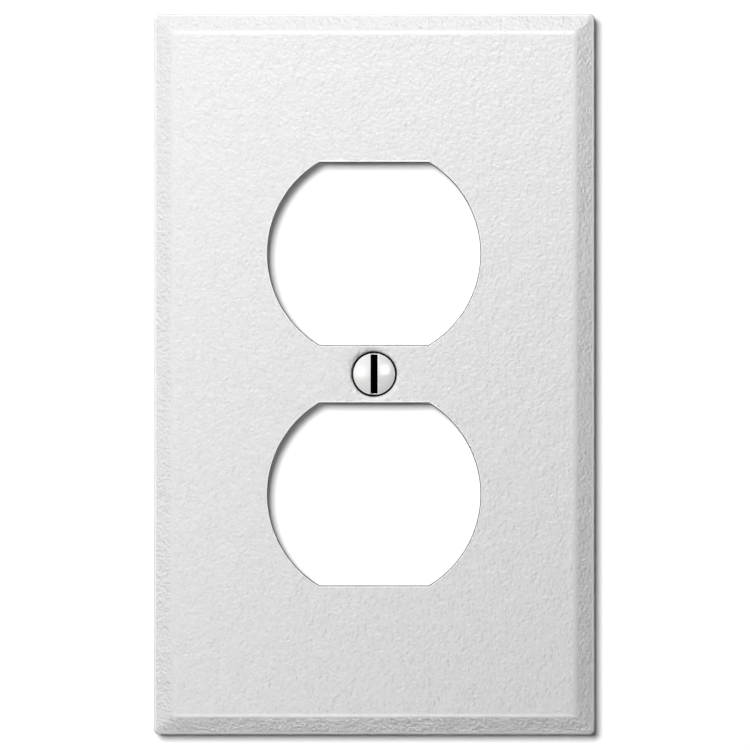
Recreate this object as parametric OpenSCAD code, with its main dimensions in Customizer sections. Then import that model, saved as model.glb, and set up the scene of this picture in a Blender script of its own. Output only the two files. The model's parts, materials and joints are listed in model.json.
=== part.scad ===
// Duplex outlet cover plate, one gang, pressed from sheet steel, with its oval-head screw.
// The plate stands upright as it does on a wall: X is its width, +Z is up and the room is towards -Y.
// The origin is on the screw's axis, in the plane where the plate's rim meets the wall.
// Millimetres throughout.

/* [Plate] */
// Width of the plate over its rim
plate_w = 69.85; // [60:0.05:90]
// Height of the plate over its rim
plate_h = 114.3; // [100:0.1:140]
// Depth from the wall to the flat face
plate_d = 5.6; // [5:0.1:8]
// Thickness of the steel sheet
sheet_t = 0.8; // [0.6:0.05:1]
// Radius of the four upright corners, seen from the front
corner_r = 0.8; // [0.3:0.1:2]

/* [Bevelled border] */
// Width of the bevel, seen from the front
bevel_w = 3.1; // [2:0.1:5]
// Depth that the bevel falls from the face to the rim
bevel_d = 1.9; // [1.2:0.1:3.5]
// Outside radius of the bend between the face and the bevel
crest_r = 2.0; // [0.9:0.1:3]
// Outside radius of the bend between the bevel and the rim
arris_r = 0.6; // [0.2:0.1:1]

/* [Outlet openings] */
// Width of an opening, across its round sides
opening_dia = 33.9; // [30:0.1:36]
// Height of an opening, between its flats
opening_flats = 29.1; // [26:0.1:32]
// Distance between the centres of the two openings
opening_pitch = 38.1; // [37:0.1:40]

/* [Screw recess] */
// Inside radius of the pressed recess round the screw's head
recess_r = 3.56; // [3.5:0.02:4]
// Depth of the recess's upright wall below the face
recess_d = 0.7; // [0.5:0.05:0.9]
// Radius of the rolled lip where the face turns into the recess
lip_r = 0.5; // [0.3:0.05:0.8]
// Radius of the screw's clearance hole
hole_r = 2.0; // [1.9:0.05:2.4]
// Length of the pierced wall of the clearance hole
hole_wall = 0.5; // [0.3:0.1:0.8]

/* [Screw] */
// Radius of the head at its rim
head_r = 3.3; // [3.2:0.02:3.4]
// Height of the domed top above the rim
dome_h = 1.2; // [0.8:0.1:1.5]
// Height of the upright land at the head's rim
land_h = 0.15; // [0.1:0.05:0.3]
// Depth of the head's rim below the plate's face
rim_sink = 0.1; // [0:0.05:0.2]
// Included angle of the countersunk head
head_angle = 82; // [78:1:90]
// Width of the driver slot
slot_w = 1.1; // [0.8:0.05:1.2]
// Height of the slot's floor above the head's rim
slot_floor = 0.15; // [0:0.05:0.4]
// Length of the screw from the head's rim to its tip
screw_len = 12.7; // [9:0.1:20]
// Outside radius of the thread, for a No. 6-32 screw
thread_r = 1.7525; // [1.6:0.0005:1.9]
// Radius of the plain neck under the head
neck_r = 1.5; // [1.3:0.05:1.6]
// Length of the plain neck under the head
neck_len = 1.1; // [0.8:0.1:1.5]
// Length of the chamfer at the tip
tip_chamfer = 0.5; // [0.3:0.1:0.8]

/* [Hidden] */
$fn = 96;

bevel_angle = atan2(bevel_d, bevel_w);
bevel_len = norm([bevel_w, bevel_d]);
rim_h = plate_d - bevel_d;
cone_slope = tan(head_angle / 2);

// What the head and its seat share, as depths below the plate's face.
cone_top = rim_sink + land_h;
cone_end = cone_top + (head_r - neck_r) / cone_slope;
seat_gap = 0.04;
seat_r = head_r + seat_gap - (recess_d - cone_top) * cone_slope;
hole_top = recess_d + (seat_r - hole_r) / cone_slope;
hole_end = hole_top + hole_wall;
tip_depth = rim_sink + screw_len;
cut = 1;

// Turns a shape that is drawn along +Z into one that runs from the face towards the wall.
module from_face() {
    translate([0, -plate_d, 0]) rotate([-90, 0, 0]) children();
}

// Cross-section of the pressed tray: rim, bevel and face, drawn in by `inset` from the outside.
// half is half the plate's size that way; v runs from the wall at 0 to the face at -plate_d.
module tray_section(half, inset) {
    crest = max(crest_r - inset, 0);
    arris = max(arris_r - inset, 0);
    crest_turn = crest * tan(bevel_angle / 2);
    arris_turn = arris * tan((90 - bevel_angle) / 2);
    side = half - inset;
    face = -plate_d + inset;
    shoulder = -rim_h + inset * tan((90 - bevel_angle) / 2);
    edge = half - bevel_w - inset * tan(bevel_angle / 2);
    along = [bevel_w, bevel_d] / bevel_len;
    right = [
        [side, inset > 0 ? cut : 0],
        [side, shoulder + arris_turn],
        [side, shoulder] - arris_turn * along,
        [edge, face] + crest_turn * along,
        [edge - crest_turn, face],
    ];
    left = [for (i = [len(right) - 1 : -1 : 0]) [-right[i][0], right[i][1]]];
    polygon(concat(right, left));
    for (s = [-1, 1]) {
        if (crest > 0) translate([s * (edge - crest_turn), face + crest]) circle(r = crest);
        if (arris > 0) translate([s * (side - arris), shoulder + arris_turn]) circle(r = arris);
    }
}

// Rectangle of the plate seen from the front, with round corners, drawn in by `inset`.
module plate_outline(inset) {
    w = plate_w - 2 * inset;
    h = plate_h - 2 * inset;
    r = max(corner_r - inset, 0.1);
    square([w - 2 * r, h], center = true);
    square([w, h - 2 * r], center = true);
    for (x = [-1, 1], z = [-1, 1])
        translate([x * (w / 2 - r), z * (h / 2 - r)]) circle(r = r);
}

// Solid tray with mitred bevels: where the two cross-sections and the front outline meet.
module tray_block(inset) {
    intersection() {
        linear_extrude(height = plate_h + 2 * cut, center = true)
            tray_section(plate_w / 2, inset);
        rotate([0, -90, 0])
            linear_extrude(height = plate_w + 2 * cut, center = true)
                tray_section(plate_h / 2, inset);
        rotate([90, 0, 0])
            linear_extrude(height = 3 * plate_d, center = true)
                plate_outline(inset);
    }
}

// One outlet opening: a round hole with a flat top and bottom.
module outlet_opening() {
    rotate([90, 0, 0]) linear_extrude(height = 3 * plate_d, center = true)
        intersection() {
            circle(d = opening_dia);
            square([2 * opening_dia, opening_flats], center = true);
        }
}

// Outside of the pressed recess, as it stands out on the back of the face.
module recess_cup() {
    wall = 0.9 * sheet_t;
    shoulder_d = recess_d + wall;
    from_face() rotate_extrude() polygon([
        [0, sheet_t / 2],
        [recess_r + wall, sheet_t / 2],
        [recess_r + wall, shoulder_d - wall / 2],
        [recess_r + wall / 2, shoulder_d],
        [seat_r + wall, shoulder_d],
        [hole_r + wall, hole_top + wall / 2],
        [hole_r + wall, hole_end],
        [0, hole_end],
    ]);
}

// The space inside the recess: rolled lip, upright wall, ledge, conical seat and clearance hole.
module recess_space() {
    from_face() {
        rotate_extrude() polygon([
            [0, -cut],
            [recess_r, -cut],
            [recess_r, recess_d],
            [seat_r, recess_d],
            [hole_r, hole_top],
            [hole_r, hole_end + cut],
            [0, hole_end + cut],
        ]);
        rotate_extrude() difference() {
            translate([0, -cut]) square([recess_r + lip_r, cut + lip_r]);
            translate([recess_r + lip_r, lip_r]) circle(r = lip_r);
        }
    }
}

module wall_plate() {
    color("white") difference() {
        union() {
            difference() {
                tray_block(0);
                tray_block(sheet_t);
            }
            recess_cup();
        }
        recess_space();
        for (z = [-1, 1]) translate([0, 0, z * opening_pitch / 2]) outlet_opening();
    }
}

// Oval-head screw. Its thread is a plain cylinder at the thread's outside radius.
module plate_screw() {
    dome_r = (head_r * head_r + dome_h * dome_h) / (2 * dome_h);
    neck_end = cone_end + neck_len;
    color("gainsboro") from_face() difference() {
        union() {
            rotate_extrude() polygon([
                [0, rim_sink],
                [head_r, rim_sink],
                [head_r, cone_top],
                [neck_r, cone_end],
                [neck_r, neck_end],
                [thread_r, neck_end + thread_r - neck_r],
                [thread_r, tip_depth - tip_chamfer],
                [thread_r - tip_chamfer, tip_depth],
                [0, tip_depth],
            ]);
            intersection() {
                translate([0, 0, rim_sink - dome_h + dome_r]) sphere(r = dome_r);
                translate([0, 0, rim_sink - dome_h - cut]) cylinder(r = head_r, h = dome_h + cut);
            }
        }
        translate([-slot_w / 2, -2 * head_r, rim_sink - slot_floor - 2 * dome_h])
            cube([slot_w, 4 * head_r, 2 * dome_h]);
    }
}

wall_plate();
plate_screw();
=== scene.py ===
"""Looks of a pressed-steel duplex cover plate and its screw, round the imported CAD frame. Metres."""

import json
import math

import bmesh
import bpy
import numpy as np
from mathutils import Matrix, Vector


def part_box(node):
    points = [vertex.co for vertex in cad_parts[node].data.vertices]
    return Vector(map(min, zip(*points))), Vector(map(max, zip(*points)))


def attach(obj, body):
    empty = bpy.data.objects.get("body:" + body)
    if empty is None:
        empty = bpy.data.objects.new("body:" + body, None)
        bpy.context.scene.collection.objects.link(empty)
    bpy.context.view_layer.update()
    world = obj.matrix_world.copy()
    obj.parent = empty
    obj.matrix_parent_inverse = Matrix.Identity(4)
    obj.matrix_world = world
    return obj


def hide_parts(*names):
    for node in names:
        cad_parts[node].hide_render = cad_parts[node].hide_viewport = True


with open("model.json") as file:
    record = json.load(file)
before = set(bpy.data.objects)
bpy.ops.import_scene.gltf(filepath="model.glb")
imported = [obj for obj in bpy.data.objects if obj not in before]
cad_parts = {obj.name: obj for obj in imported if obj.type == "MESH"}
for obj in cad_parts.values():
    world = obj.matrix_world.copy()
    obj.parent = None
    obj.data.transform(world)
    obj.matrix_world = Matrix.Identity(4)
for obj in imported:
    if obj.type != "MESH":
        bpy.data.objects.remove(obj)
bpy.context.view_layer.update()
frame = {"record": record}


# ---------------------------------------------------------------------------------------------------------
# Wall plate. One blank of sheet steel: the press turns its border back into a bevel and a rim, punches the
# two outlet openings and sinks the recess for the screw's head. It is powder coated white from the front,
# so the hollow back carries only a thin overspray.
# ---------------------------------------------------------------------------------------------------------

plate_low, plate_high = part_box("wall_plate")
HALF_W = plate_high.x
HALF_H = plate_high.z
FACE_Y = plate_low.y
SHEET = 0.0008
BACK_Y = FACE_Y + SHEET

# The bevel's width and depth as the front shows them, and the radii of the bends on either side of it.
BEVEL_W = 0.0031
BEVEL_D = 0.0019
BEVEL_ANGLE = math.atan2(BEVEL_D, BEVEL_W)
CREST_R = 0.002
CREST_D = CREST_R * (1 - math.cos(BEVEL_ANGLE))
ARRIS_R = 0.0006

# Plain edges of the sheet, the plate's upright corners and the corners of its mitres.
EDGE_R = 0.00012
CORNER_R = 0.0008
MITRE_R = 0.00045

# The outlet openings: a circle cut off by two flats. The punch rolls the front edge over, the powder stands
# round it in a low bead, and the steel tears at the back into a thin burr that leans inwards. The bead is
# painted clean white as a highlight, and the burr near-black as shade.
mount_places = {mount["name"]: mount["pos_m"] for mount in frame["record"]["mounts"]}
OPENING_Z = mount_places["upper_outlet_opening"][2]
OPENING_R = 0.01695
OPENING_FLAT = 0.01455
PUNCH_ROLL = 0.00006
BEAD_W = 0.00016
BEAD_H = 0.00005
BURR_W = 0.00012
BURR_H = 0.00045

# The screw's head, which the recess is pressed to fit: its radius, its cone's angle, how far its rim lies
# below the face, the height of the upright land at its rim, and its clearance.
HEAD_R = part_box("plate_screw")[1].x
HEAD_ANGLE = math.radians(82)
HEAD_SLOPE = math.tan(HEAD_ANGLE / 2)
RIM_SINK = 0.0001
LAND_H = 0.00015
SEAT_GAP = 0.00004

# The recess, from its rolled lip down to the countersunk seat and the clearance hole. The press also draws
# the sheet round it down into a shallow dimple.
RECESS_R = 0.00356
RECESS_D = 0.0007
LIP_R = 0.00028
SEAT_R = HEAD_R + SEAT_GAP - (RECESS_D - RIM_SINK - LAND_H) * HEAD_SLOPE
HOLE_R = 0.002
SEAT_D = RECESS_D + (SEAT_R - HOLE_R) / HEAD_SLOPE
HOLE_WALL = 0.0005
HOLE_END = SEAT_D + HOLE_WALL
CUP_WALL = 0.9 * SHEET
CUP_R = 0.0004
DIMPLE_D = 0.00047
DIMPLE_W = 0.0012

# Thickness of the powder, and painted light, as the attribute says it at each point. Drawn powder is full,
# but stretched smooth over the crest's bend. The painted shade level stands for shade at the punched burrs
# and in the screw's recess. The painted highlight level stands for the highlight along the outer edge and
# on the openings' beads, and begins this far in from the outside.
PAINTED_SHADE = 0.0
OVERSPRAY = 0.35
FULL = 1.0
DRAWN = 2.0
PAINTED_HIGHLIGHT = 3.0
PAINTED_HIGHLIGHT_W = 0.00036
PAINTED_HIGHLIGHT_BLEND = 0.00006

# Share of the light that each level sends back, the painted shade's and the painted highlight's among
# them, and the depth of the powder's texture.
PAINTED_SHADE_GREY = 0.008
OVERSPRAY_GREY = 0.48
POWDER_GREYS = (0.76, 0.88)
PAINTED_HIGHLIGHT_WHITE = 0.95
PEEL_DEPTH = 0.0003
DRAWN_DEPTH = 0.00004

# How many steps an arc of the section takes: the wide bends, and the small edges.
BEND_STEPS = 12
EDGE_STEPS = 8


def rounded_profile(corners, radii, steps):
    """Profile through the corners, with an arc tangent to both legs in each inner corner.

    Where the profile turns by an angle t, an arc of radius r starts r * tan(t / 2) before the corner. Its
    centre lies r / cos(t / 2) from the corner, between the legs, and the start point turns about it by t."""
    corners = np.array(corners, float)
    pieces = [corners[:1]]
    for before, corner, after, radius in zip(corners, corners[1:], corners[2:], radii):
        back = (before - corner) / np.linalg.norm(before - corner)
        on = (after - corner) / np.linalg.norm(after - corner)
        turn = math.pi - math.acos(np.clip(back @ on, -1, 1))
        middle = (back + on) / np.linalg.norm(back + on)
        centre = corner + middle * radius / math.cos(turn / 2)
        spoke = corner + back * radius * math.tan(turn / 2) - centre
        way = np.sign(on[0] * back[1] - on[1] * back[0])
        angle = way * turn * np.linspace(0, 1, steps + 1)[:, None]
        pieces.append(centre + spoke * np.cos(angle) + spoke[::-1] * [-1, 1] * np.sin(angle))
    pieces.append(corners[-1:])
    return np.concatenate(pieces)


def border_profile():
    """Section of the border as (inset, y), from the front face out over the rim and back in behind.

    A bend of radius r through an angle t starts r * tan(t / 2) before its corner, and its inner corner is
    shifted from the outer one by the sheet's thickness * tan(t / 2). Two rings on the bevel's straight
    line mark where the painted highlight along the outer edge begins."""
    rim_y = FACE_Y + BEVEL_D
    crest_turn = math.tan(BEVEL_ANGLE / 2)
    rim_turn = math.tan((math.pi / 2 - BEVEL_ANGLE) / 2)
    face_inset = BEVEL_W + CREST_R * crest_turn + EDGE_R
    corners = [
        (face_inset, FACE_Y),
        (BEVEL_W, FACE_Y),
        (0, rim_y),
        (0, 0),
        (SHEET, 0),
        (SHEET, rim_y + SHEET * rim_turn),
        (BEVEL_W + SHEET * crest_turn, BACK_Y),
        (face_inset, BACK_Y),
    ]
    radii = [CREST_R, ARRIS_R, EDGE_R, EDGE_R, EDGE_R, CREST_R - SHEET]
    profile = rounded_profile(corners, radii, BEND_STEPS)
    inset = np.array([PAINTED_HIGHLIGHT_W + PAINTED_HIGHLIGHT_BLEND, PAINTED_HIGHLIGHT_W])
    rings = np.stack([inset, FACE_Y + BEVEL_D * (1 - inset / BEVEL_W)], axis=1)
    crest_points = BEND_STEPS + 2
    return np.insert(profile, crest_points, rings, axis=0)


# How many steps each stretch of the quarter plate's outline takes. The outline runs from the recess along
# the plate's middle, up its right side, round the corner and along its top to the centre line. The middle
# and the top each change step once, the top at this share of its length.
RECESS_STEPS = 20
MIDDLE_STEPS = (12, 8)
SIDE_STEPS = 28
CORNER_STEPS = 8
TOP_STEPS = (8, 14)
TOP_SPLIT = 0.66


def quarter_outline(inset):
    """Right side, corner and top of the plate's outline drawn in by each inset: x and z, rings by points.

    A point is the centre of its corner circle, slid along the straight sides, plus the circle's radius in
    the direction the outline faces there. The radius shrinks with the inset down to the mitre's own."""
    inset = np.asarray(inset, float)[:, None]
    radius = np.maximum(CORNER_R - inset, MITRE_R)
    quarter = np.linspace(0, math.pi / 2, CORNER_STEPS + 1)
    along_side = np.linspace(0, 1, SIDE_STEPS + 1)[:-1]
    along_top = np.concatenate([
        np.linspace(1, TOP_SPLIT, TOP_STEPS[0] + 1)[1:],
        np.linspace(TOP_SPLIT, 0, TOP_STEPS[1] + 1)[1:],
    ])
    slide_x = np.concatenate([np.ones(along_side.size + quarter.size), along_top])
    slide_z = np.concatenate([along_side, np.ones(quarter.size + along_top.size)])
    face_x = np.concatenate([np.ones(along_side.size), np.cos(quarter), np.zeros(along_top.size)])
    face_z = np.concatenate([np.zeros(along_side.size), np.sin(quarter), np.ones(along_top.size)])
    x = slide_x * (HALF_W - inset - radius) + radius * face_x
    z = slide_z * (HALF_H - inset - radius) + radius * face_z
    return x, z


def opening_outline(grow):
    """Right half of the upper opening's outline, grown by each amount: x and z, rings by points.

    It runs from the middle of the bottom flat round the circle to the middle of the top flat, and is the
    circle of the grown radius cut off at the grown flats. It has as many points as the quarter plate's
    outer chain, and near_recess and side_angle are the shares at which the two change step together."""
    grow = np.asarray(grow, float)[:, None]
    corner = np.arcsin((OPENING_FLAT + grow) / (OPENING_R + grow))
    corner_x = (OPENING_R + grow) * np.cos(corner)
    near_recess = 0.38
    flat = np.concatenate([
        near_recess * np.sin(np.linspace(0, math.pi / 2, RECESS_STEPS + 1))[:-1],
        near_recess + (1 - near_recess) * np.linspace(0, 1, MIDDLE_STEPS[0] + 1)[:-1] ** 1.5,
    ])
    side_angle = 0.53
    side_steps = SIDE_STEPS + CORNER_STEPS + TOP_STEPS[0]
    turn = np.concatenate([
        np.linspace(-1, -side_angle, MIDDLE_STEPS[1] + 1)[:-1],
        np.linspace(-side_angle, 1, side_steps + 1)[:-1],
    ])
    top = np.linspace(1, 0, TOP_STEPS[1] + 1)
    angle = corner * turn
    x = np.hstack([corner_x * flat, (OPENING_R + grow) * np.cos(angle), corner_x * top])
    z = np.hstack([
        -(OPENING_FLAT + grow) + 0 * flat,
        (OPENING_R + grow) * np.sin(angle),
        OPENING_FLAT + grow + 0 * top,
    ])
    return x, z + OPENING_Z


def face_web(y, grow, recess_r, inset):
    """Flat quarter of the face between the opening and the outer chain: rings of x, y and z.

    The outer chain is a quarter circle round the screw, the plate's middle line and the quarter outline.
    Each ring lies a share of the way from the opening to it, with a close ring beside each end."""
    inner_x, inner_z = opening_outline([grow])
    outer_x, outer_z = quarter_outline([inset])
    turn = np.linspace(math.pi / 2, 0, RECESS_STEPS + 1)[:-1]
    split = 0.36 * outer_x[0, 0]
    middle = np.concatenate([
        recess_r + (split - recess_r) * np.linspace(0, 1, MIDDLE_STEPS[0] + 1)[:-1] ** 2,
        np.linspace(split, outer_x[0, 0], MIDDLE_STEPS[1] + 1)[:-1],
    ])
    chain_x = np.concatenate([recess_r * np.cos(turn), middle, outer_x[0]])
    chain_z = np.concatenate([recess_r * np.sin(turn), 0 * middle, outer_z[0]])
    share = np.concatenate([[0, 0.01], np.linspace(0.05, 0.95, 19), [0.99, 1]])[:, None]
    x = inner_x + share * (chain_x - inner_x)
    z = inner_z + share * (chain_z - inner_z)
    return x, np.full_like(x, y), z


def recess_profile():
    """Section of the screw's recess as (radius, y), from the rolled lip through the hole to the cup's back.

    The front follows the head it holds, and the back runs a cup's wall behind it."""
    corners = [
        (RECESS_R + LIP_R + EDGE_R / 4, 0),
        (RECESS_R, 0),
        (RECESS_R, RECESS_D),
        (SEAT_R, RECESS_D),
        (HOLE_R, SEAT_D),
        (HOLE_R, HOLE_END),
        (HOLE_R + CUP_WALL, HOLE_END),
        (SEAT_R + CUP_WALL, RECESS_D + CUP_WALL),
        (RECESS_R + CUP_WALL, RECESS_D + CUP_WALL),
        (RECESS_R + CUP_WALL, SHEET),
        (RECESS_R + CUP_WALL + EDGE_R / 2, SHEET),
    ]
    front_radii = [LIP_R, EDGE_R / 4, EDGE_R, EDGE_R]
    back_radii = [EDGE_R, 2 * EDGE_R, CUP_R, CUP_R / 2, EDGE_R / 3]
    return rounded_profile(corners, front_radii + back_radii, EDGE_STEPS) + [0, FACE_Y]


def quads(rows, columns, first):
    """Faces of a grid of points, each square joining two neighbours in a row to the two below them."""
    index = first + np.arange(rows * columns).reshape(rows, columns)
    corners = [index[:-1, :-1], index[:-1, 1:], index[1:, 1:], index[1:, :-1]]
    return np.stack(corners, axis=-1).reshape(-1, 4)


def closed_surface(name, patches):
    """Mesh object of several grids, as (x, y, z, tag) arrays, with their shared edges merged into one skin.

    The tag of each point goes into the mesh's coat attribute, for the finish to read."""
    same_place = 2e-7
    sharp_edge = math.radians(38)
    points, faces, tags, first = [], [], [], 0
    for x, y, z, tag in patches:
        points.append(np.stack([x, y, z], axis=-1).reshape(-1, 3))
        faces.append(quads(*x.shape, first))
        tags.append(np.broadcast_to(tag, x.shape).reshape(-1))
        first += x.size
    mesh = bpy.data.meshes.new(name)
    mesh.from_pydata(np.concatenate(points).tolist(), [], np.concatenate(faces).tolist())
    layer = mesh.attributes.new("finish_and_painted_light", "FLOAT", "POINT")
    layer.data.foreach_set("value", np.concatenate(tags).astype(np.float32))
    skin = bmesh.new()
    skin.from_mesh(mesh)
    bmesh.ops.remove_doubles(skin, verts=skin.verts, dist=same_place)
    bmesh.ops.recalc_face_normals(skin, faces=skin.faces)
    skin.to_mesh(mesh)
    skin.free()
    mesh.shade_smooth()
    mesh.set_sharp_from_angle(angle=sharp_edge)
    piece = bpy.data.objects.new(name, mesh)
    bpy.context.collection.objects.link(piece)
    return piece


def dimpled(x, y, z, tag):
    """The patch with the sheet drawn down round the recess, where the punch pulled it.

    Inside the recess the drop is the dimple's depth. Outside it is that depth times the square of
    1 - (r - recess's radius) / width, which falls to nothing at the dimple's edge."""
    away = (np.hypot(x, z) - RECESS_R) / DIMPLE_W
    return x, y + DIMPLE_D * np.clip(1 - np.maximum(away, 0), 0, 1) ** 2, z, tag


def mirrored(patches):
    """The quarter's patches and their three mirror images in the plate's two centre lines."""
    return [(sx * x, y, sz * z, tag) for sx in (1, -1) for sz in (1, -1) for x, y, z, tag in patches]


def punch_profile():
    """Section of an opening's punched edge as (growth, y): bead of powder, rolled edge, wall and burr.

    Growth is how far a point lies outside the opening's outline, so the burr's is negative."""
    corners = [
        (2.5 * BEAD_W, FACE_Y),
        (2 * BEAD_W, FACE_Y),
        (0.8 * BEAD_W, FACE_Y - BEAD_H),
        (0, FACE_Y),
        (0, BACK_Y - BURR_H),
        (-BURR_W, BACK_Y),
        (EDGE_R / 4, BACK_Y),
    ]
    radii = [BEAD_W, BEAD_W, PUNCH_ROLL, EDGE_R / 4, EDGE_R / 4]
    return rounded_profile(corners, radii, EDGE_STEPS)


def border_finish_and_highlight(border):
    """Powder on the border's rings: drawn over the crest's bend, a painted highlight along the bevel's outer
    edge and onto the arris, overspray behind.

    The level follows the ring's depth below the face, and from the rim's foot on it is overspray."""
    crest_y = FACE_Y + CREST_D * np.array([0, 0.1, 0.9, 1])
    highlight_y = FACE_Y + BEVEL_D * (1 - np.array([PAINTED_HIGHLIGHT_W + PAINTED_HIGHLIGHT_BLEND, PAINTED_HIGHLIGHT_W]) / BEVEL_W)
    rim_y = FACE_Y + BEVEL_D + ARRIS_R * np.array([0, 0.15])
    levels = [FULL, DRAWN, DRAWN, FULL, FULL, PAINTED_HIGHLIGHT, PAINTED_HIGHLIGHT, FULL]
    finish_and_painted_light = np.interp(border[:, 1], [*crest_y, *highlight_y, *rim_y], levels)
    finish_and_painted_light[np.argmax(border[:, 1]) :] = OVERSPRAY
    return finish_and_painted_light[:, None]


def plate_quarter():
    """Upper right quarter of the plate: border, front and back of the face, punched edge and recess.

    The border's section is carried round the plate's outline, the punched edge's round the opening and the
    recess's round the screw. Two flat webs close the front and the back between them."""
    border = border_profile()
    border_x, border_z = quarter_outline(border[:, 0])
    border_y = np.broadcast_to(border[:, 1:], border_x.shape)

    punch = punch_profile()
    punch_x, punch_z = opening_outline(punch[:, 0])
    punch_y = np.broadcast_to(punch[:, 1:], punch_x.shape)
    # The bead is painted clean white as a highlight, and the burr at the back near-black as shade.
    punch_finish_highlight_and_shade = np.interp(punch[:, :1], [0, BEAD_W, 1.4 * BEAD_W], [PAINTED_HIGHLIGHT, PAINTED_HIGHLIGHT, FULL])
    punch_finish_highlight_and_shade[punch[:, 1] > BACK_Y - 1.1 * BURR_H] = PAINTED_SHADE

    recess = recess_profile()
    turn = np.linspace(0, math.pi / 2, RECESS_STEPS + 1)
    recess_x = recess[:, :1] * np.cos(turn)
    recess_z = recess[:, :1] * np.sin(turn)
    recess_y = np.broadcast_to(recess[:, 1:], recess_x.shape)
    # Low on the rolled lip the powder gives way to near-black painted shade, which stands for the shade in
    # the gap round the screw's head down the recess; the cup's back has overspray.
    recess_shade_ends = RECESS_R + LIP_R * np.array([0.1, 0.2])
    recess_finish_and_shade = np.interp(recess[:, :1], recess_shade_ends, [PAINTED_SHADE, FULL])
    recess_finish_and_shade[len(recess) // 2 :] = OVERSPRAY

    front = face_web(FACE_Y, punch[0, 0], recess[0, 0], border[0, 0])
    back = face_web(BACK_Y, punch[-1, 0], recess[-1, 0], border[-1, 0])
    patches = [
        (border_x, border_y, border_z, border_finish_and_highlight(border)),
        (punch_x, punch_y, punch_z, punch_finish_highlight_and_shade),
        (recess_x, recess_y, recess_z, recess_finish_and_shade),
        (*front, FULL),
        (*back, OVERSPRAY),
    ]
    return [dimpled(*patch) for patch in patches]


def new_material(name):
    """Empty node material with a principled shader: the material, its node tree and the shader."""
    material = bpy.data.materials.new(name)
    material.use_nodes = True
    tree = material.node_tree
    return material, tree, tree.nodes["Principled BSDF"]


def add_node(tree, kind, inputs=(), **settings):
    """New node of that kind. Inputs are (socket, value or output) pairs; settings are its properties."""
    made = tree.nodes.new(kind)
    for key, value in settings.items():
        setattr(made, key, value)
    for socket, value in inputs:
        if isinstance(value, bpy.types.NodeSocket):
            tree.links.new(value, made.inputs[socket])
        else:
            made.inputs[socket].default_value = value
    return made


def ramp(tree, value, low, high, at_low=0.0, at_high=1.0):
    """Straight ramp of the value: at_low where it is low, at_high where it is high, and level beyond."""
    ends = [("From Min", low), ("From Max", high), ("To Min", at_low), ("To Max", at_high)]
    return add_node(tree, "ShaderNodeMapRange", [("Value", value), *ends]).outputs[0]


def blend(tree, share, low, high):
    """Colour that is low where the share is 0 and high where it is 1, in proportion between them."""
    mix = add_node(tree, "ShaderNodeMix", [("Factor", share), (6, low), (7, high)], data_type="RGBA")
    return mix.outputs[2]


def noise(tree, scale, detail):
    """Even noise over the piece's own metres, with so many cells to a metre."""
    place = add_node(tree, "ShaderNodeTexCoord").outputs["Object"]
    cells = [("Vector", place), ("Scale", scale), ("Detail", detail)]
    return add_node(tree, "ShaderNodeTexNoise", cells).outputs["Fac"]


def grey(level):
    """Plain grey that reflects this share of the light."""
    return (level, level, level, 1)


def powder_finish_and_painted_light():
    """White powder: fine orange peel over a slow ripple, with a colour that follows the powder's depth and
    the painted light.

    The painted shade is nearly black, overspray a mid grey, full powder a mottled white and the painted
    highlight clean white. The bump is the sum of peel and ripple, and is flattened where the powder is
    drawn smooth."""
    material, tree, shader = new_material("white_powder_finish_and_painted_light")
    finish_and_painted_light = add_node(tree, "ShaderNodeAttribute", attribute_name="finish_and_painted_light").outputs["Fac"]
    peel = noise(tree, 1900, 2)
    ripple = noise(tree, 300, 2)
    height = add_node(tree, "ShaderNodeMath", [(0, ripple), (1, peel)], operation="ADD").outputs[0]
    depth = ramp(tree, finish_and_painted_light, FULL, DRAWN, PEEL_DEPTH, DRAWN_DEPTH)
    bump = add_node(tree, "ShaderNodeBump", [("Height", height), ("Strength", 1.0), ("Distance", depth)])

    # Near-black painted shade up to the overspray's mid grey.
    shade_and_overspray = ramp(tree, finish_and_painted_light, PAINTED_SHADE, OVERSPRAY, PAINTED_SHADE_GREY, OVERSPRAY_GREY)
    mottled = blend(tree, noise(tree, 1100, 3), grey(POWDER_GREYS[0]), grey(POWDER_GREYS[1]))
    # Mottled full powder up to the painted highlight's clean white.
    powder_and_highlight = blend(tree, ramp(tree, finish_and_painted_light, DRAWN, PAINTED_HIGHLIGHT), mottled, grey(PAINTED_HIGHLIGHT_WHITE))
    covered = ramp(tree, finish_and_painted_light, 0.6, FULL)
    colour = blend(tree, covered, shade_and_overspray, powder_and_highlight)

    dry = 0.8
    satin = ramp(tree, peel, 0.0, 1.0, 0.34, 0.46)
    rough = add_node(tree, "ShaderNodeMix", [("Factor", covered), (2, dry), (3, satin)]).outputs[0]
    tree.links.new(colour, shader.inputs["Base Color"])
    tree.links.new(rough, shader.inputs["Roughness"])
    tree.links.new(bump.outputs[0], shader.inputs["Normal"])
    return material


wall_plate = closed_surface("cover_plate", mirrored(plate_quarter()))
wall_plate.data.materials.append(powder_finish_and_painted_light())
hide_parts("wall_plate")
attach(wall_plate, "wall_plate")


# ---------------------------------------------------------------------------------------------------------
# Plate screw. A No. 6-32 oval-head machine screw, cold headed, slotted and rolled from steel wire. White
# enamel is baked on the dome and the shank is zinc plated; the slot is painted near-black as its shade.
# ---------------------------------------------------------------------------------------------------------

# The dome, the land at its rim and the countersunk cone under it.
DOME_H = 0.0012
DOME_R = (HEAD_R**2 + DOME_H**2) / (2 * DOME_H)
RIM_Y = FACE_Y + RIM_SINK
LAND_ROLL = 0.00004

# The driver slot: half its width, how far its floor stands over the rim, and the roll of its edges.
SLOT_HALF = 0.00055
SLOT_FLOOR = 0.00015
SLOT_ROLL = 0.0001

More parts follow.
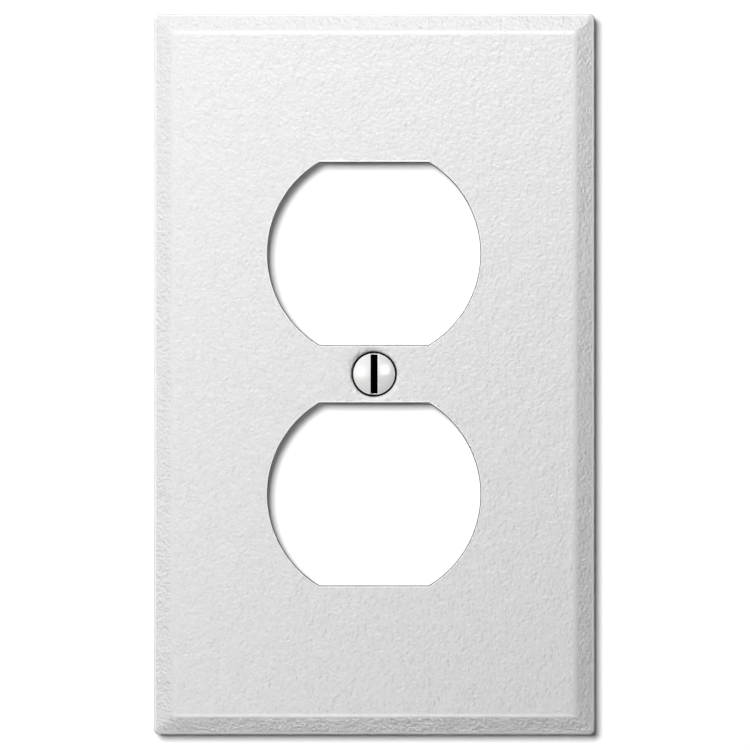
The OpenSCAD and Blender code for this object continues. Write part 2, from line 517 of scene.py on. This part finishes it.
# The shank: plain neck, No. 6-32 thread and chamfered tip.
NECK_R = 0.0015
NECK_FILLET = 0.0003
NECK_LEN = 0.0011
CONE_Y = RIM_Y + LAND_H + (HEAD_R - NECK_R) / HEAD_SLOPE
NECK_END_Y = CONE_Y + NECK_LEN
THREAD_R = 0.0017525
PITCH = 0.0254 / 32
TIP_CHAMFER = 0.0005
TIP_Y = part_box("plate_screw")[1].y

# Finish, as the attribute says it at each point. The slot is painted near-black as its shade, and where the
# slot runs out on the dome a grey between zinc and enamel is painted as the shade at its ends.
SLOT_SHADE = 0.0
ZINC = 0.5
SLOT_END_SHADE = 0.75
ENAMEL = 1.0


def head_columns():
    """Columns across the head: where each stands, how far it is sunk below the dome, and its finish.

    Half of them run from the rim to the slot at even angles, then roll over the slot's edge on a quarter
    circle, drop down its wall and cross its floor, which are painted near-black as the slot's shade. The
    other half is their mirror image."""
    edge = SLOT_HALF + SLOT_ROLL
    angle = np.linspace(0, math.acos(edge / HEAD_R), 30)
    roll = np.linspace(0, math.pi / 2, 7)[1:]
    slot = SLOT_HALF * np.array([1.0, 1.0, 0.98, 0.6, 0.2])
    x = np.concatenate([HEAD_R * np.cos(angle), edge - SLOT_ROLL * np.sin(roll), slot])
    wall_and_floor = np.array([1.4 * SLOT_ROLL, DOME_H, DOME_H, DOME_H, DOME_H])
    drop = np.concatenate([0 * angle, SLOT_ROLL * (1 - np.cos(roll)), wall_and_floor])
    finish = np.repeat([ENAMEL, SLOT_SHADE], [angle.size + roll.size, slot.size])
    x = np.concatenate([x, -x[::-1]])
    drop = np.concatenate([drop, drop[::-1]])
    finish = np.concatenate([finish, finish[::-1]])
    return x, drop, finish


def head_top():
    """Domed top with its slot: a disc of columns, each running from rim to rim.

    A point's height over the rim is sqrt(R^2 - r^2) - (R - dome height), with R the dome's radius. A sunk
    column lies lower by its drop, but never under the slot's floor. The rows stand close to each other
    where the floor meets the dome, and past there the slot has run out and its columns aren't sunk."""
    x, drop, finish = head_columns()
    slot_end = math.sqrt(DOME_R**2 - (DOME_R - DOME_H + SLOT_FLOOR) ** 2) / HEAD_R
    near = 0.006
    share = np.concatenate([np.linspace(0, slot_end - 2 * near, 14), np.linspace(slot_end - near, 1, 14)])
    share = np.concatenate([-share[:0:-1], share])[:, None]
    z = share * np.sqrt(np.maximum(HEAD_R**2 - x**2, 0))
    height = np.sqrt(DOME_R**2 - x**2 - z**2) - (DOME_R - DOME_H)
    sink = np.minimum(drop, np.maximum(height - SLOT_FLOOR, 0))
    # Where the slot runs out, the dome is painted a grey between zinc and enamel as the shade at the slot's
    # ends.
    run_out = np.where(drop > 0, SLOT_END_SHADE, ENAMEL)
    finish = np.where(sink > 0.01 * SLOT_ROLL, finish, run_out)
    return x + 0 * z, RIM_Y - height + sink, z, finish


def shank_radius(y, angle):
    """Radius of the threaded shank at depth y and angle: a 60 degree V thread wound right-handed.

    The ridge keeps y / pitch + angle / turn constant. Away from its middle the radius falls by the sharp
    V's height, less the part cut off its crest, down to the root; it fades in after the neck."""
    crest_cut = 1 / 8
    root = 0.7
    ridge = np.mod(y / PITCH + angle / (2 * math.pi), 1)
    vee = PITCH * math.sqrt(3) / 2
    depth = np.clip(vee * (np.abs(2 * ridge - 1) - crest_cut), 0, vee * root)
    fade = np.clip((y - NECK_END_Y) / PITCH, 0, 1)
    limit = np.interp(
        y,
        [NECK_END_Y, NECK_END_Y + THREAD_R - NECK_R, TIP_Y - TIP_CHAMFER, TIP_Y],
        [NECK_R, THREAD_R, THREAD_R, THREAD_R - TIP_CHAMFER],
    )
    return np.minimum(limit, THREAD_R - depth * fade)


def screw_body():
    """Everything under the dome, as rings of one set of angles: land, cone, neck, thread and tip.

    Each ring is a circle of its depth's radius, at the angles where the columns of the dome end, and the
    last one closes the tip at a point."""
    x = np.unique(np.round(head_columns()[0], 9))
    half = np.arccos(np.clip(x / HEAD_R, -1, 1))
    angle = np.concatenate([half, -half[::-1]])
    corners = [(HEAD_R, RIM_Y), (HEAD_R, RIM_Y + LAND_H), (NECK_R, CONE_Y), (NECK_R, NECK_END_Y)]
    under = rounded_profile(corners, [LAND_ROLL, NECK_FILLET], 6)
    rows_per_turn = 20
    rows = int((TIP_Y - NECK_END_Y) / PITCH * rows_per_turn)
    thread_y = np.linspace(NECK_END_Y, TIP_Y, rows)[1:, None]
    radius = np.concatenate([under[:, :1] + 0 * angle, shank_radius(thread_y, angle), 0 * angle[None]])
    y = np.concatenate([under[:, 1:] + 0 * angle, thread_y + 0 * angle, TIP_Y + 0 * angle[None]])
    finish = np.interp(y, [RIM_Y + LAND_H, RIM_Y + 3 * LAND_H], [ENAMEL, ZINC])
    return radius * np.cos(angle), y, radius * np.sin(angle), finish


def screw_finish_and_slot_shade():
    """Gloss white enamel on the dome, zinc plate on the shank and near-black painted shade in the slot,
    with a faint grain.

    The finish level runs from the slot's painted shade through zinc, the only metallic one, to enamel."""
    material, tree, shader = new_material("screw_enamel_zinc_and_slot_shade")
    level = add_node(tree, "ShaderNodeAttribute", attribute_name="finish_and_painted_light").outputs["Fac"]
    grain = noise(tree, 900, 2)
    enamel = blend(tree, grain, (0.83, 0.83, 0.82, 1), (0.89, 0.89, 0.88, 1))
    zinc = blend(tree, grain, (0.50, 0.51, 0.53, 1), (0.68, 0.69, 0.70, 1))
    # The slot's near-black is painted shade.
    zinc_and_slot_shade = blend(tree, ramp(tree, level, SLOT_SHADE, ZINC), grey(0.004), zinc)
    colour = blend(tree, ramp(tree, level, ZINC, ENAMEL), zinc_and_slot_shade, enamel)
    metallic = ramp(tree, level, ZINC, ENAMEL, 0.9, 0.0)
    rough = ramp(tree, grain, 0.0, 1.0, 0.14, 0.24)
    relief = [("Height", grain), ("Strength", 1.0), ("Distance", 0.000004)]
    bump = add_node(tree, "ShaderNodeBump", relief).outputs[0]
    tree.links.new(colour, shader.inputs["Base Color"])
    tree.links.new(metallic, shader.inputs["Metallic"])
    tree.links.new(rough, shader.inputs["Roughness"])
    tree.links.new(bump, shader.inputs["Normal"])
    return material


plate_screw = closed_surface("oval_head_screw", [head_top(), screw_body()])
plate_screw.data.materials.append(screw_finish_and_slot_shade())
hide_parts("plate_screw")
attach(plate_screw, "plate_screw")


# ---------------------------------------------------------------------------------------------------------
# Studio. The plate stands against white paper, lit by soft boxes. The paper has its own far light, so that
# it stays plain white round the plate's shadow, and it can't be seen from behind.
# ---------------------------------------------------------------------------------------------------------

scene = bpy.context.scene
scene.view_settings.view_transform = "Standard"


def one_sided_paper():
    """Matt white paper that only its front shows: from behind the shader is clear."""
    material, tree, shader = new_material("studio_paper")
    shader.inputs["Base Color"].default_value = grey(0.95)
    shader.inputs["Roughness"].default_value = 1.0
    shader.inputs["Specular IOR Level"].default_value = 0.0
    clear = add_node(tree, "ShaderNodeBsdfTransparent").outputs[0]
    behind = add_node(tree, "ShaderNodeNewGeometry").outputs["Backfacing"]
    mixed = add_node(tree, "ShaderNodeMixShader", [(0, behind), (1, shader.outputs[0]), (2, clear)])
    tree.links.new(mixed.outputs[0], tree.nodes["Material Output"].inputs["Surface"])
    return material


# Each collection holds what one group of lights shines on.
paper = one_sided_paper()
paper_lit = bpy.data.collections.new("paper_lit")
plate_lit = bpy.data.collections.new("plate_lit")
screw_lit = bpy.data.collections.new("screw_lit")
for piece in (wall_plate, plate_screw):
    plate_lit.objects.link(piece)
screw_lit.objects.link(plate_screw)


def paper_sheet(name, half_w, half_h, y):
    """Upright rectangle of paper facing the room, centred on the screw's axis."""
    mesh = bpy.data.meshes.new(name)
    corners = [(-half_w, y, -half_h), (half_w, y, -half_h), (half_w, y, half_h), (-half_w, y, half_h)]
    mesh.from_pydata(corners, [], [(0, 1, 2, 3)])
    mesh.materials.append(paper)
    sheet = bpy.data.objects.new(name, mesh)
    scene.collection.objects.link(sheet)
    sheet.visible_shadow = False
    sheet.visible_diffuse = False
    sheet.visible_glossy = False
    sheet.visible_transmission = False
    paper_lit.objects.link(sheet)


# The backdrop lies just behind the rim's foot. The card stands in the hollow plate, clear of its rim.
BACKDROP_HALF = 0.6
BACKDROP_Y = 0.00002
CARD_INSET = 0.006
paper_sheet("backdrop", BACKDROP_HALF, BACKDROP_HALF, BACKDROP_Y)
paper_sheet("backing_card", HALF_W - CARD_INSET, HALF_H - CARD_INSET, -BEVEL_D)


def soft_box(name, place, size, watts, lit, aim=(0, 0, 0), diffuse=True, glossy=True):
    """Square soft box at place, facing aim, that lights the pieces in lit.

    Without its diffuse light it shows only as a reflection, and without its glossy light it has none."""
    lamp = bpy.data.lights.new(name, "AREA")
    lamp.size = size
    lamp.energy = watts
    light = bpy.data.objects.new(name, lamp)
    scene.collection.objects.link(light)
    light.location = place
    light.rotation_euler = (Vector(aim) - Vector(place)).to_track_quat("-Z", "Y").to_euler()
    light.light_linking.receiver_collection = lit
    light.visible_diffuse = diffuse
    light.visible_glossy = glossy


# A far box whitens the paper. The key box hangs over the plate, with a weaker one from the left and a wide
# low fill from the right, so that each bevel has its own shade.
soft_box("paper_light", (-0.755, -3.0, 0.755), 1.14, 124.0, paper_lit, aim=(-0.755, 0, 0.755))
soft_box("top_box", (0.022, -0.25, 0.238), 0.08, 0.745, plate_lit)
soft_box("left_box", (-0.233, -0.25, -0.009), 0.08, 0.63, plate_lit, glossy=False)
soft_box("low_fill", (0.67, -0.25, -0.80), 0.3, 3.1, plate_lit, glossy=False)

# Reflections only: a strip that draws the lower crest's highlight, four boxes that graze the outside edges,
# and a broad one on either side of the screw's dome.
soft_box("low_strip", (0.0, -0.30, -0.26), 0.05, 0.9, plate_lit, diffuse=False)
soft_box("top_graze", (0.0, 0.0, 0.45), 0.10, 0.3, plate_lit, diffuse=False)
soft_box("left_graze", (-0.45, 0.0, 0.0), 0.10, 0.2, plate_lit, diffuse=False)
soft_box("right_graze", (0.45, 0.0, 0.0), 0.10, 0.2, plate_lit, diffuse=False)
soft_box("low_graze", (0.0, 0.0, -0.45), 0.10, 0.08, plate_lit, diffuse=False)
soft_box("screw_left", (-0.48, -0.43, 0.08), 0.42, 2.2, screw_lit, diffuse=False)
soft_box("screw_right", (0.43, -0.49, 0.17), 0.44, 4.2, screw_lit, diffuse=False)

# Two boxes light the plate's hollow back.
soft_box("back_left", (-0.75, 0.50, 0.50), 0.6, 5.0, plate_lit)
soft_box("back_right", (0.12, 1.0, -0.10), 0.5, 4.0, plate_lit)

# The room glows faintly, but looks pale to the camera.
ROOM_GLOW = 0.03
ROOM_SEEN = 0.9
world = bpy.data.worlds.new("studio")
scene.world = world
world.use_nodes = True
sky = world.node_tree
seen = add_node(sky, "ShaderNodeLightPath").outputs["Is Camera Ray"]
level = ramp(sky, seen, 0.0, 1.0, ROOM_GLOW, ROOM_SEEN)
sky.links.new(level, sky.nodes["Background"].inputs["Strength"])
sky.nodes["Background"].inputs["Color"].default_value = grey(1)

# The camera stands square in front of the plate, far off, with a long lens.
camera_data = bpy.data.cameras.new("camera")
camera_data.lens = 450
camera_data.sensor_width = 36
camera = bpy.data.objects.new("camera", camera_data)
scene.collection.objects.link(camera)
camera.location = (0.000143, -1.4901, -0.000151)
camera.rotation_euler = (math.pi / 2, 0, 0)
scene.camera = camera
